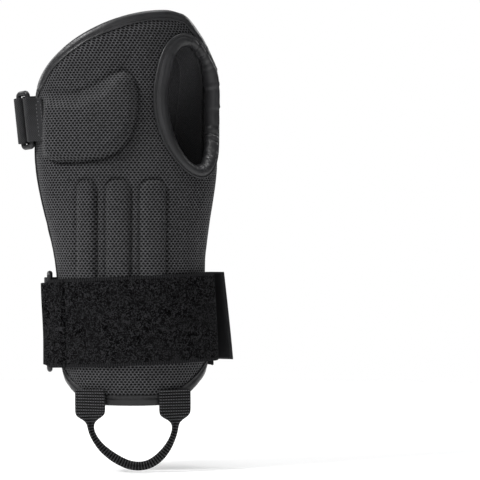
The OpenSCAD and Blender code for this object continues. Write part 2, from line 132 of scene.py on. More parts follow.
def dorsal_half(z, inset=0.0):
    zz = np.clip(z, 25, 184)
    low = np.clip((z - D_LOW - inset) / (24 - inset), 0, 1)
    high = np.clip((D_TOP - inset - z) / (34 - inset), 0, 1)
    base = 36.5 - 4.2 * smooth((zz - 10) / 95) + 9 * smooth((zz - 108) / 75) - inset
    return base * np.sqrt(1 - (1 - low) ** 2) * np.sqrt(1 - (1 - high) ** 2)


HOLE_A, HOLE_Z, HOLE_HA, HOLE_HH, HOLE_LEAN = 325.0, 169.0, 35.0, 40.5, 4.0


def hole_chart(t, inset):
    """Angle and height on the thumb hole's outline at t degrees, inset towards its middle."""
    shrink, wide = 1 - inset / HOLE_HH, 1 - inset / 23
    return (HOLE_A + (HOLE_HA * cosd(t) - HOLE_LEAN * sind(t)) * wide, HOLE_Z + HOLE_HH * shrink * sind(t))


def hole_radius(phi, z):
    """1 on the thumb hole's outline, less inside it."""
    s = (z - HOLE_Z) / HOLE_HH
    return np.hypot((phi - HOLE_A + HOLE_LEAN * s) / HOLE_HA, s)


# straps and rings, as in the CAD
STRAP_T, PILE_T, BAND_T, HOOK_T, TAB_T = 1.2, 1.5, 1.6, 0.6, 1.1
BASE_MID, FREE_MID, HOOK_MID = 5.45, 7.6, 6.65  # middles of the layers above the tube
BAND_MID = 4.9
TURN_R = 2.45
TILT = 6.0
hand_bar = np.array([-55.0, -5.8, 161.5])
hand_outer = hand_bar + 8 * np.array([cosd(132), sind(132), 0])
FORE_Z = 47.0  # height of the forearm strap's middle
fore_bar = np.array([-43.6, -5.0, FORE_Z])
fore_outer = fore_bar + 8 * np.array([cosd(96), sind(96), 0])
LEAVE_X, LEAVE_A = -36.0, 148.0


def angle_to(bar, p):
    return math.degrees(math.atan2(p[1] - bar[1], p[0] - bar[0]))


hand_reach = angle_to(hand_outer, skin(back_angle(LEAVE_X, 161.5), 161.5, 6.525))
fore_reach = angle_to(fore_outer, skin(LEAVE_A, 47.0, 6.525))


# -------- smooth noise, for folds that are in the mesh

NOISE = [np.random.default_rng(seed).normal(size=(64, 64)) for seed in range(8)]


def noise(x, y, k=0):
    """Smooth value noise, about -1 to 1, with features about one unit across."""
    t = NOISE[k % 8]
    x, y = np.broadcast_arrays(np.asarray(x, float), np.asarray(y, float))
    xi, yi = np.floor(x).astype(int), np.floor(y).astype(int)
    fx, fy = smooth(x - xi), smooth(y - yi)
    g = lambda i, j: t[(xi + i) % 64, (yi + j) % 64]
    return 0.6 * lerp(lerp(g(0, 0), g(1, 0), fx), lerp(g(0, 1), g(1, 1), fx), fy)


# -------- mesh makers

def new_mesh(name, verts, faces, mat, loop_uv=None):
    """verts in millimetres; loop_uv, one for each corner, in metres of cloth."""
    me = bpy.data.meshes.new(name)
    me.from_pydata((np.asarray(verts) * MM).tolist(), [], faces)
    if loop_uv is not None:
        layer = me.uv_layers.new(name="cloth")
        layer.data.foreach_set("uv", np.asarray(loop_uv, np.float32).ravel())
    me.polygons.foreach_set("use_smooth", [True] * len(me.polygons))
    me.materials.append(mat)
    me.validate()
    me.update()
    o = bpy.data.objects.new(name, me)
    bpy.context.scene.collection.objects.link(o)
    return o


def place(o, body, slot, *nodes):
    """Attach a piece to the body it rides on, if it has one, and hide the nodes it replaces. slot is not
    used.
    """
    if body:
        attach(o, body)
    if nodes:
        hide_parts(*nodes)
    return o


def unit(v):
    return v / np.maximum(np.linalg.norm(v, axis=-1, keepdims=True), 1e-9)


def run_length(P):
    d = np.linalg.norm(np.diff(P, axis=0), axis=-1)
    return np.concatenate([[0], np.cumsum(d)])


def sheet_lengths(B):
    """Run lengths along the middle of a sheet and across its start."""
    return run_length(B[:, B.shape[1] // 2]), run_length(B[0])


def closed(P):
    return np.concatenate([P, P[:1]])


def grid_normals(P):
    """Unit normals of a grid of points."""
    return unit(np.cross(np.gradient(P, axis=1), np.gradient(P, axis=0)))


def grid_faces(rows, cols, wrap_r=False, wrap_c=False):
    """The quads of a grid, and the grid place of each of their corners."""
    r = np.arange(rows if wrap_r else rows - 1)
    c = np.arange(cols if wrap_c else cols - 1)
    R, C = (g.ravel() for g in np.meshgrid(r, c, indexing="ij"))
    steps = ((0, 0), (0, 1), (1, 1), (1, 0))
    corners = np.stack([np.stack([R + i, C + j], 1) for i, j in steps], 1)
    return corners[..., 0] % rows * cols + corners[..., 1] % cols, corners


def outward(v, f):
    """True if the faces of a closed mesh turn outwards."""
    first, second = (np.cross(v[f[:, k]], v[f[:, k + 1]]) for k in (1, 2))
    return np.einsum("ij,ij->", v[f[:, 0]], first + second) > 0


def solid(name, outer, inner, mat, uv, drop=None):
    """A closed sheet between two grids of points, without the faces whose corners drop marks."""
    n = outer.shape[0] * outer.shape[1]
    quads, corners = grid_faces(*outer.shape[:2])
    if drop is not None:
        keep = ~(drop[:-1, :-1] & drop[1:, :-1] & drop[:-1, 1:] & drop[1:, 1:]).ravel()
        quads, corners = quads[keep], corners[keep]
    pairs = [[0, 1], [1, 2], [2, 3], [3, 0]]
    edges, edge_corners = (np.concatenate([a[:, k] for k in pairs]) for a in (quads, corners))
    key = np.sort(edges, 1)
    _, first, count = np.unique(key[:, 0] * (2 * n) + key[:, 1], return_index=True, return_counts=True)
    rim, rim_corners = edges[first[count == 1]], edge_corners[first[count == 1]]
    wall = np.stack([rim[:, 1], rim[:, 0], rim[:, 0] + n, rim[:, 1] + n], 1)
    faces = np.concatenate([quads, quads[:, ::-1] + n, wall])
    places = np.concatenate([corners, corners[:, ::-1], rim_corners[:, [1, 0, 0, 1]]])
    verts = np.concatenate([outer.reshape(-1, 3), inner.reshape(-1, 3)])
    if not outward(verts, faces):
        faces, places = faces[:, ::-1], places[:, ::-1]
    used, renumbered = np.unique(faces, return_inverse=True)
    loop_uv = uv[places[..., 0].ravel(), places[..., 1].ravel()] * MM
    return new_mesh(name, verts[used], renumbered.reshape(faces.shape).tolist(), mat, loop_uv)


def spread(s, w):
    """A grid of the pairs of each s with each w."""
    return np.stack(np.broadcast_arrays(s[:, None], w[None, :]), -1)


def tube(name, rings, mat, uv, looped=False):
    """rings (n, k, 3), each a closed section; uv (n or n + 1, k + 1, 2)."""
    n, k = rings.shape[:2]
    quads, corners = grid_faces(n, k, wrap_r=looped, wrap_c=True)
    verts = rings.reshape(-1, 3)
    turn = 1 if outward(verts, quads) else -1
    faces = quads[:, ::turn].tolist()
    uvs = uv[corners[:, ::turn, 0], corners[:, ::turn, 1]].reshape(-1, 2).tolist()
    if not looped:
        verts = np.concatenate([verts, rings[[0, -1]].mean(1)])
        last = (n - 1) * k
        for j in range(k):
            faces += [(n * k, (j + 1) % k, j)[::turn], (n * k + 1, last + j, last + (j + 1) % k)[::turn]]
            uvs += [uv[0, j]] * 3 + [uv[-1, j]] * 3
    return new_mesh(name, verts, faces, mat, np.array(uvs) * MM)


def slab(name, B, thick, mat, edge=0.5, ends=(True, True), raised=0.0):
    """Webbing: a sheet of middle points B (stations, places across, 3) made thick, with rounded selvedges
    and ends. raised adds height to the face that the grid's normals leave."""
    s, w = sheet_lengths(B)

    def rounded(d):
        return np.sqrt(1 - (1 - np.clip(d / edge, 0, 1)) ** 2) * 0.8 + 0.2

    along = np.ones_like(s)
    if ends[0]:
        along = np.minimum(along, rounded(s))
    if ends[1]:
        along = np.minimum(along, rounded(s[-1] - s))
    h = thick / 2 * along[:, None] * rounded(np.minimum(w, w[-1] - w))[None, :]
    N = grid_normals(B)
    return solid(name, B + N * (h + raised)[..., None], B - N * h[..., None], mat, spread(s, w))


def steps(x, s):
    """Run lengths x as whole and part steps of a grid whose own run lengths are s."""
    i = np.interp(x, s, np.arange(len(s)))
    i0 = np.clip(i.astype(int), 0, len(s) - 2)
    return i0, (i - i0)[..., None]


def on_grid(G, s, w, si, wi):
    """A grid's value at run lengths si along it and wi across it."""
    (i, fi), (j, fj) = steps(si, s), steps(wi, w)
    return lerp(lerp(G[i, j], G[i + 1, j], fi), lerp(G[i, j + 1], G[i + 1, j + 1], fi), fj)


def refine(B, step):
    """The same sheet on a finer, even grid."""
    for axis in (0, 1):
        B = np.swapaxes(B, 0, axis)
        s = run_length(B[:, B.shape[1] // 2])
        i, f = steps(np.linspace(0, s[-1], int(s[-1] / step) + 1), s)
        B = np.swapaxes(lerp(B[i], B[i + 1], f[..., None]), 0, axis)
    return B


def edge_samples(width, inner):
    """Places across a strap, closer together at its selvedges."""
    a = np.array([0, 0.12, 0.3])
    return np.concatenate([a, np.linspace(0.5, width - 0.5, inner), (width - a)[::-1]]) - width / 2


def resample(P, step):
    s = run_length(P)
    t = np.linspace(0, s[-1], max(4, int(round(s[-1] / step)) + 1))
    return np.stack([np.interp(t, s, P[:, k]) for k in range(P.shape[1])], 1)


STITCH_AT = np.array([0, 0.12, 0.35, 0.65, 0.88, 1])  # stations along one stitch
STITCH_R = np.array([0.35, 0.8, 1, 1, 0.8, 0.35])
STITCH_DIP = np.array([1.2, 0.4, 0, 0, 0.4, 1.2])


def stitches(name, runs, norms, mat, pitch, length, r, body):
    """Thread: short rounded stitches along runs of points with surface normals."""
    verts, faces = [], []
    round_it = np.radians(np.arange(6) * 60)
    up = (0.6 * r - 0.06 - r * STITCH_DIP)[:, None] + r * np.outer(STITCH_R, 0.75 * np.sin(round_it))
    side = r * np.outer(STITCH_R, np.cos(round_it))
    quads, _ = grid_faces(6, 6, wrap_c=True)
    for P, N in zip(runs, norms):
        s = run_length(P)
        count = int(s[-1] // pitch)
        for i in range(count):
            start = (s[-1] - count * pitch) / 2 + i * pitch + (pitch - length) / 2
            ts = start + length * STITCH_AT
            c, n = (np.stack([np.interp(ts, s, G[:, k]) for k in range(3)], 1) for G in (P, N))
            n = unit(n)
            b = unit(np.cross(n, unit(c[-1] - c[0])))
            base = len(verts)
            section = c[:, None] + n[:, None] * up[..., None] + b[:, None] * side[..., None]
            verts += section.reshape(-1, 3).tolist()
            faces += (quads + base).tolist()
            faces += [list(range(base + 5, base - 1, -1)), list(range(base + 30, base + 36))]
    return place(new_mesh(name, np.array(verts), faces, mat), body, "webbing")


# -------- materials

def shade(color, k):
    return tuple(k * x for x in color)


class Net:
    """A material with a principled shader, and short names for the few kinds of node these materials use."""

    def __init__(self, name):
        self.material = bpy.data.materials.new(name)
        self.material.use_nodes = True
        self.nt = self.material.node_tree
        self.nt.nodes.clear()
        out = self.nt.nodes.new("ShaderNodeOutputMaterial")
        self.bsdf = self.nt.nodes.new("ShaderNodeBsdfPrincipled")
        self.nt.links.new(self.bsdf.outputs[0], out.inputs[0])

    def put(self, socket, v):
        if hasattr(v, "is_output"):
            self.nt.links.new(v, socket)
        else:
            socket.default_value = v

    def look(self, **values):
        """Set inputs of the shader, whose names are written here with underscores."""
        for name, v in values.items():
            self.put(self.bsdf.inputs[name.replace("_", " ")], v)

    def math(self, op, *values):
        n = self.nt.nodes.new("ShaderNodeMath")
        n.operation = op
        for socket, v in zip(n.inputs, values):
            self.put(socket, v)
        return n.outputs[0]

    def wave(self, v, pitch, op="SINE"):
        return self.math(op, self.math("MULTIPLY", v, 2 * math.pi / pitch))

    def span(self, v, a, b, to_a=0.0, to_b=1.0):
        n = self.nt.nodes.new("ShaderNodeMapRange")
        n.interpolation_type = "SMOOTHSTEP"
        self.put(n.inputs["Value"], v)
        for k, x in (("From Min", a), ("From Max", b), ("To Min", to_a), ("To Max", to_b)):
            n.inputs[k].default_value = x
        return n.outputs["Result"]

    def uv(self):
        n = self.nt.nodes.new("ShaderNodeUVMap")
        n.uv_map = "cloth"
        s = self.nt.nodes.new("ShaderNodeSeparateXYZ")
        self.nt.links.new(n.outputs[0], s.inputs[0])
        return s.outputs[0], s.outputs[1]

    def texture(self, kind, result, **values):
        n = self.nt.nodes.new("ShaderNodeTex" + kind)
        self.nt.links.new(self.nt.nodes.new("ShaderNodeTexCoord").outputs["Object"], n.inputs["Vector"])
        for name, v in values.items():
            n.inputs[name].default_value = v
        return n.outputs[result]

    def noise(self, scale, detail=3.0, rough=0.55, distortion=0.0):
        return self.texture("Noise", "Fac", Scale=scale, Detail=detail, Roughness=rough,
                            Distortion=distortion)

    def mix(self, fac, a, b):
        n = self.nt.nodes.new("ShaderNodeMix")
        n.data_type = "RGBA"
        self.put(n.inputs[0], fac)
        for i, v in ((6, a), (7, b)):
            self.put(n.inputs[i], (*v, 1) if isinstance(v, tuple) else v)
        return n.outputs[2]

    def mottled(self, noise, color, low, high):
        """The colour, darker and lighter where the noise is."""
        return self.mix(self.span(noise, 0.3, 0.7), shade(color, low), shade(color, high))

    def bump(self, height, distance, strength=1.0, normal=None):
        n = self.nt.nodes.new("ShaderNodeBump")
        self.put(n.inputs["Height"], height)
        n.inputs["Distance"].default_value = distance
        n.inputs["Strength"].default_value = strength
        if normal is not None:
            self.nt.links.new(normal, n.inputs["Normal"])
        return n.outputs[0]


def air_mesh(name, pitch, row, thread, hole, rough=0.78, wide=0.2):
    """Spacer mesh: staggered rows of small open cells between knitted threads, the cells near-black as
    painted shade and the threads lit and shaded in paint by their fine relief.
    """
    t = Net(name)
    u, v = t.uv()
    f = t.math("MULTIPLY", t.wave(u, 2 * pitch, "COSINE"), t.wave(v, 2 * row, "COSINE"))
    f = t.math("MULTIPLY_ADD", f, 2.0, t.wave(v, row, "COSINE"))
    cell = t.span(f, wide, wide + 1.0)
    rib = t.span(t.wave(u, pitch, "COSINE"), -1, 1)
    big = t.noise(38, 2)
    fine = t.noise(1700, 2, 0.7)
    # the threads' colour follows the fine noise that also raises them: painted highlight on the raised bits,
    # painted shade on the low ones
    threads = t.mix(t.span(fine, 0.3, 0.72), shade(thread, 0.35), shade(thread, 1.55))
    threads = t.mix(t.span(big, 0.3, 0.7, 0.0, 0.3), threads, shade(thread, 1.25))
    h = t.math("SUBTRACT", 1.0, cell)
    h = t.math("MULTIPLY_ADD", rib, 0.12, h)
    h = t.math("MULTIPLY_ADD", fine, 0.2, h)
    # the open cells take the near-black hole colour: painted shade in the cells
    t.look(Base_Color=t.mix(cell, threads, hole), Roughness=t.span(cell, 0, 1, rough, 0.95),
           Normal=t.bump(h, 0.0005), Sheen_Weight=0.06, Sheen_Roughness=0.45, Specular_IOR_Level=0.2)
    return t.material


def leatherette(name, color, rough, spec):
    t = Net(name)
    n = t.bump(t.noise(260, 4, 0.6, 0.6), 0.0003, 0.4)
    t.look(Base_Color=t.mottled(t.noise(60, 2), color, 0.8, 1.25), Specular_IOR_Level=spec,
           Normal=t.bump(t.texture("Voronoi", "Distance", Scale=1500), 0.0001, 0.45, n),
           Roughness=t.span(t.noise(500, 3), 0.25, 0.75, rough - 0.08, rough + 0.1))
    return t.material


def pile(name, wide):
    """Loop pile, with a woven selvedge along both sides of a strap this many metres wide."""
    # the pile's roots are near-black, painted shade between the tufts, and its tips much lighter, painted
    # highlight
    color, tip = (0.0005, 0.0005, 0.0006), (0.043, 0.043, 0.0455)
    t = Net(name)
    h = t.math("MULTIPLY_ADD", t.noise(560, 2, 0.7, 1.6), 1.0, t.noise(1250, 3, 0.8, 0.8))
    # colour follows the same height that makes the bump: dark where low and light where high, as painted
    # shade and highlight
    col = t.mix(t.span(h, 0.9, 1.2), color, tip)
    col = t.mix(t.span(t.noise(70, 3), 0.35, 0.7, 0.0, 0.3), col, shade(tip, 0.5))
    u, v = t.uv()
    rim = t.math("MINIMUM", v, t.math("SUBTRACT", wide, v))
    selvedge = t.mix(t.span(t.wave(u, 0.0013), -1, 1), shade(tip, 0.3), shade(tip, 0.75))
    t.look(Base_Color=t.mix(t.span(rim, 0.0013, 0.0021), selvedge, col), Normal=t.bump(h, 0.0011),
           Roughness=0.95, Specular_IOR_Level=0.02)
    return t.material


def webbing(name, color, ribbed=False):
    """Woven tape. u runs along it and v across it. Its colour follows the weave's relief: darker in the
    grooves as painted shade and lighter on the ridges as painted highlight.
    """
    t = Net(name)
    u, v = t.uv()
    if ribbed:
        f = t.wave(u, 0.0016)
        turn = t.math("MULTIPLY", t.math("SIGN", f), 1.5)
        w = t.math("SINE", t.math("MULTIPLY_ADD", v, 2 * math.pi / 0.0015, turn))
        share, low, high, start, deep, sheen, spec = 0.75, 0.0, 2.4, 0.0, 0.0006, 0.0, 0.12
    else:
        f = t.wave(t.math("ADD", u, t.math("PINGPONG", v, 0.0031)), 0.0011)
        w = t.wave(v, 0.0007)
        share, low, high, start, deep, sheen, spec = 0.35, 0.4, 1.5, -0.9, 0.00016, 0.03, 0.25
    h = t.math("MULTIPLY_ADD", w, share, f)
    fine = t.noise(3000, 2, 0.7)
    # the colour goes from low to high with the relief height h: painted shade in the grooves, painted
    # highlight on the ridges
    fac = t.span(t.math("MULTIPLY_ADD", fine, 0.8, h), start, 1.5)
    t.look(Base_Color=t.mix(fac, shade(color, low), shade(color, high)), Normal=t.bump(h, deep),
           Roughness=t.span(fine, 0.3, 0.7, 0.55, 0.75), Sheen_Weight=sheen, Specular_IOR_Level=spec)
    return t.material


def plain(name, color, rough, scale, depth, spec=0.5, sheen=0.0):
    t = Net(name)
    n = t.noise(scale, 4, 0.6)
    t.look(Base_Color=t.mottled(n, color, 0.8, 1.2), Normal=t.bump(n, depth, 0.6), Sheen_Weight=sheen,
           Roughness=t.span(n, 0.3, 0.7, rough - 0.06, rough + 0.06), Specular_IOR_Level=spec)
    return t.material


# the hole colours here are painted shade in the open cells
MESH = air_mesh("air_mesh", 0.00108, 0.00138, (0.074, 0.074, 0.078), (0.0014, 0.0014, 0.0016), wide=-0.75)
MESH_BACK = air_mesh("air_mesh_back", 0.00116, 0.00146, (0.072, 0.072, 0.076), (0.0015, 0.0015, 0.0017),
                     wide=-0.6)
LINING = air_mesh("lining_mesh", 0.0007, 0.0008, (0.02, 0.02, 0.022), (0.006, 0.006, 0.0065), 0.85, -0.1)
# one black leatherette in two copies: the second, lighter colour is painted light for the lit finger edge
# and thumb-hole rim; the first, darker one is painted shade for the cuff and the other bound edges
LEATHER = leatherette("leatherette", (0.009, 0.009, 0.01), 0.34, 0.36)
LEATHER_SOFT_LIT = leatherette("leatherette_soft_lit", (0.016, 0.016, 0.0175), 0.4, 0.5)
PILE = pile("loop_pile", 0.05)
PILE_NARROW = pile("loop_pile_narrow", 0.0275)
TWILL = webbing("webbing", (0.024, 0.024, 0.026))
RIBBED = webbing("ribbed_webbing", (0.052, 0.052, 0.0545), True)
HOOK = plain("hook_tape", (0.011, 0.011, 0.012), 0.7, 2200, 0.0004, 0.15)
PLASTIC = plain("ring_plastic", (0.014, 0.014, 0.015), 0.38, 700, 0.00006, 0.4)
THREAD = plain("thread", (0.03, 0.03, 0.032), 0.55, 4000, 0.0001, 0.35, 0.03)
LIGHT_THREAD = plain("light_thread", (0.13, 0.13, 0.135), 0.5, 4000, 0.0001, 0.4)
DARK_THREAD = plain("dark_thread", (0.006, 0.006, 0.0065), 0.6, 4000, 0.0001, 0.15)
PRINT = plain("white_print", (0.86, 0.86, 0.86), 0.62, 2600, 0.00008)


# -------- palm shell

EDGE_OUT, EDGE_IN = 2.1, -2.4  # faces of the shell at its bound edge
ULNAR_OUT = 175.5


def thumb_out(z):
    return thumb_edge(z) + 13.0


def walk(phi, z, dist):
    """The angle a distance round the tube from phi."""
    for _ in range(12):
        phi = phi + dist / 12 / arc(phi, z)
    return phi


def corner(d, r):
    """How far a rounded corner draws a side in, d millimetres from the end."""
    c = np.clip(1 - d / r, 0, 1)
    return r * (1 - np.sqrt(np.maximum(1 - c * c, 0)))


def slope(edge, phi, z):
    return np.hypot(1, (edge(phi + 1) - edge(phi - 1)) / (2 * arc(phi, z)))


def palm_chart(u, v, inset):
    """Angle and height at (u, v) of the shell, whose outline is inset by a distance."""
    phi = lerp(ULNAR_OUT, thumb_out(120.0), u) + 0 * v
    z = lerp(10.0, 200.0, v) + 0 * u
    for _ in range(7):
        lo = cuff_edge(phi) + inset * slope(cuff_edge, phi, z)
        hi = finger_edge(phi) - inset * slope(finger_edge, phi, z)
        z = lerp(lo, hi, v)
        left = walk(ULNAR_OUT, z, inset + corner(z - lo, 4.0) + corner(hi - z, 4.0))
        right = walk(thumb_out(z), z, -(inset + corner(z - lo, 5.0) + corner(hi - z, 14.0)))
        phi = lerp(left, right, u)
    return phi, z


PAD = np.array([
    [-50, 177.5], [-39, 175.3], [-28, 174.8], [-17, 179.6], [-8, 185.5], [-1, 188], [4, 184.5], [5.8, 174],
    [5.3, 162.5], [2, 151.5], [-4.6, 143.8], [-13, 140.2], [-26, 138.4], [-40, 138.2], [-52, 142]], float)


def polygon_distance(x, z, poly):
    """Signed distance to a closed polygon, positive inside."""
    p = np.stack([x, z], -1)
    best = np.full(x.shape, 1e9)
    inside = np.zeros(x.shape, bool)
    for a, b in zip(poly, np.roll(poly, -1, axis=0)):
        ab = b - a
        t = np.clip(((p - a) @ ab) / (ab @ ab), 0, 1)
        best = np.minimum(best, np.linalg.norm(p - (a + t[..., None] * ab), axis=-1))
        cross = (a[1] > z) != (b[1] > z)
        inside ^= cross & (x < (b[0] - a[0]) * (z - a[1]) / (b[1] - a[1] + 1e-12) + a[0])
    return np.where(inside, best, -best)


def pad_height(x, z):
    """The slider pad in the heel of the palm: steep below and towards the thumb, eased above."""
    d = polygon_distance(x, z, PAD) + 0.4
    below = smooth((170 - z) / 16)
    right = smooth((x + 12) / 12)
    wall = np.maximum(below, right)
    width = lerp(9.5, 5.6, wall)
    t = np.clip(d / width, 0, 1)
    body = 7.2 * lerp(smooth(t), (1 - (1 - t) ** 2.2) ** 0.9, wall) * (0.86 + 0.14 * smooth(d / 16))
    ease = smooth((x + 48.5) / 7)
    crease = -(0.7 + 0.7 * wall) * hump(d + 0.7, 1.1)
    return (body + crease) * ease


RIBS = [(-22.0, 5.5), (-4.0, 6.7), (15.6, 7.1)]


def rib_height(x, z):
    h = np.zeros(np.broadcast(x, z).shape)
    for c, w in RIBS:
        s = np.clip((x - c) / w, -1, 1)
        top = 126.4 - 3.2 * np.abs(s) ** 3.5
        end = smooth((top + 0.8 - z) / 2.2)
        t = np.abs((x - c) / w)
        body = 2.5 * (1 - np.clip(t, 0, 1) ** 2.8) ** 0.7 * end
        groove = -1.5 * hump(x - c - w - 0.4, 0.8) * end
        groove = groove - 0.7 * hump(x - c + w + 0.3, 1.0) * end
        lip = -1.2 * hump(z - top - 0.8, 0.8) * smooth((w + 0.8 - np.abs(x - c)) / 2)
        h = h + body + groove + lip
    return h * smooth((z - 68) / 9)


def palm_out(phi, z, edge):
    """Outer face of the shell above the middle of its padding; edge is the distance from the outline."""
    x = skin(phi, z, COVER)[..., 0]
    base = lerp(EDGE_OUT, COVER, smooth(edge / 11))
    front = smooth((sind(-phi) - 0.1) / 0.25)
    fade = smooth((edge - 3) / 7)
    wave = 0.22 * noise(phi / 13, z / 19, 1) + 0.1 * noise(phi / 5, z / 7, 2)
    return base + front * fade * (pad_height(x, z) + rib_height(x, z)) + wave * fade


def palm_near(phi, z):
    """About how far a point is from the shell's outline or the thumb hole."""
    d = (phi - ULNAR_OUT) * arc((phi + ULNAR_OUT) / 2, z)
    d = np.minimum(d, (thumb_out(z) - phi) * arc((phi + thumb_out(z)) / 2, z))
    d = np.minimum(d, (finger_edge(phi) - z) / slope(finger_edge, phi, z))
    d = np.minimum(d, (z - cuff_edge(phi)) / slope(cuff_edge, phi, z))
    hole = (hole_radius(phi, z) - 1) * 24
    return np.maximum(np.minimum(d, np.maximum(hole, 0) + 2.0), 0)


def palm_face(phi, z):
    return palm_out(phi, z, palm_near(phi, z))


def palm_back(phi, z):
    near = palm_near(phi, z)
    return lerp(EDGE_IN, -3.2, smooth(near / 9)) + 0.18 * noise(phi / 10, z / 16, 3)


def crowd(n, middle, extra):
    """n places from 0 to 1, closer together round one of them."""
    t = np.linspace(0, 1, 400)
    weight = 1 + extra * hump(t - middle, 0.2)
    c = np.concatenate([[0], np.cumsum((weight[1:] + weight[:-1]) / 2)])
    return np.interp(np.linspace(0, 1, n), c / c[-1], t)


def cloth_uv(phi, z):
    """Millimetres of cloth round the tube from the middle column, and the height."""
    across = np.linalg.norm(np.diff(skin(phi, z, COVER), axis=1), axis=-1)
    u = np.concatenate([np.zeros((len(phi), 1)), np.cumsum(across, 1)], 1)
    return np.stack([u - u[:, phi.shape[1] // 2][:, None], z], -1)


def panel(name, phi, z, face, back, split, mat, nodes, lining_node, drop=None):
    """A panel's cover and its lining, which leave a small gap between the two split heights."""
    uv = cloth_uv(phi, z)
    cover = solid(name + "_mesh", skin(phi, z, face(phi, z)), skin(phi, z, split[0]), mat, uv, drop)
    place(cover, "guard", "air_mesh", *nodes)
    lining = solid(name + "_lining", skin(phi, z, split[1]), skin(phi, z, back(phi, z)), LINING, uv, drop)
    place(lining, "guard", "lining_mesh", lining_node)


EDGE_INSET = 1.2  # the panels end this far inside the folded edge of their binding
U, V = np.meshgrid(crowd(212, 0.47, 1.3), crowd(216, 0.66, 0.8))
PHI, Z = palm_chart(U, V, EDGE_INSET)
well_in = smooth(palm_near(PHI, Z) / 8)
panel("palm_shell", PHI, Z, palm_face, palm_back, (lerp(0.2, 0.6, well_in), lerp(0.1, -0.4, well_in)), MESH,
      ("palm_cover", "palm_foam", "palm_splint", "palm_rib_pads", "palm_slider_pad"), "palm_lining",
      drop=hole_radius(PHI, Z) < 0.87)


# -------- bindings

edge_runs, edge_norms = [], []


def sew(line, below):
    """Keep a run of thread along an edge, which stands away from the points below it."""
    edge_runs.append(line)
    edge_norms.append(unit(line - below))


def tape(name, node, phi, z, wf, wb, face, back, mat, looped=False, ruffle=0.1, seed=0, lift=0.75):
    """Folded tape over an edge. phi, z run along the edge with the material on their left; wf and wb are its
    widths in front and behind, and face and back give the two surfaces it lies on."""
    n = len(phi)
    k = arc(phi, z)
    if looped:
        dp, dz = (np.roll(phi, -1) - np.roll(phi, 1)) * k, np.roll(z, -1) - np.roll(z, 1)
    else:
        dp, dz = np.gradient(phi) * k, np.gradient(z)
    step_len = np.hypot(dp, dz)
    ip, iz = -dz / step_len, dp / step_len
    P = skin(phi, z)
    s = run_length(closed(P) if looped else P)
    wf = np.broadcast_to(wf, n) + 0.25 * noise(s[:n] / 9, 0.5, seed)

    def inside(d):
        return phi + ip * d / k, z + iz * d

    section = []
    for d, b in ((wf, -0.35), (wf, 0.25), (wf - 0.12, lift * 0.85), (wf - 0.55, lift * 1.15),
                 (wf - 1.3, lift * 0.3), (wf - 2.1, lift * 1.05), (wf * 0.3, lift * 1.1), (0.5, lift)):
        p, q = inside(d)
        section.append((p, q, face(p, q) + b))
    p, q = inside(0.2)
    middle, half = (face(p, q) + back(p, q)) / 2, (face(p, q) - back(p, q)) / 2
    for ang in (62, 35, 8, -8, -35, -62):
        p, q = inside(-1.2 * cosd(ang))
        section.append((p, q, middle + (half + lift * 0.9) * sind(ang)))
    for d, b in ((0.6, lift), (wb * 0.35, lift), (wb * 0.7, lift * 0.9), (wb - 0.3, lift * 0.7), (wb, -0.3)):
        p, q = inside(d)
        section.append((p, q, back(p, q) - b))
    for d, off in ((wb - 0.4, -0.9), (1.6, -0.7), (1.6, 0.7), (wf - 0.4, 1.0)):
        section.append((*inside(d), off))
    rings = []
    for j, (p, q, off) in enumerate(section):
        w = 0
        if 2 <= j <= 17:
            w = ruffle * (noise(s[:n] / 5.5, j * 0.35, seed) + 0.6 * noise(s[:n] / 2.6, j * 0.5, seed + 1))
        rings.append(skin(p, q, off + (w if j < 11 else -w)))
    rings = np.stack(rings, 1)
    around = np.append(run_length(rings[n // 2]), 60.0)
    place(tube(name, rings, mat, spread(s, around), looped), "guard", "leatherette", node)
    p, q = inside(wf - 1.3)
    if looped:
        p, q = closed(p), closed(q)
    sew(skin(p, q, face(p, q) + lift * 0.45), skin(p, q, face(p, q) - 1))


def chart_path(phi, z, step):
    """Evenly spaced points along a path in angle and height."""
    s = run_length(skin(phi, z))
    t = np.linspace(0, s[-1], max(8, int(s[-1] / step)))
    return np.interp(t, s, phi), np.interp(t, s, z)


step = 1.1
t = np.linspace(0, 1, 400)
# the material lies on the left of each run, which goes round the shell this way:
# along the cuff to the thumb, up the thumb side, back along the fingers, down the little finger's side
for node, u, v, wf, wb, mat, ruffle, seed in (
        ("cuff_edge_binding", t, 0 * t, 4.9, 4.5, LEATHER, 0.2, 3),
        ("thumb_edge_facing", 0 * t + 1, t, 6.2, 5.0, LEATHER, 0.1, 5),
        ("finger_edge_binding", t[::-1], 0 * t + 1, 4.6, 4.6, LEATHER_SOFT_LIT, 0.08, 1),
        ("ulnar_edge_binding", 0 * t, t[::-1], 4.2, 4.4, LEATHER, 0.1, 4)):
    p, q = chart_path(*palm_chart(u, v, EDGE_INSET), step)
    tape(node + "_tape", node, p, q, wf, wb, palm_face, palm_back, mat, ruffle=ruffle, seed=seed)

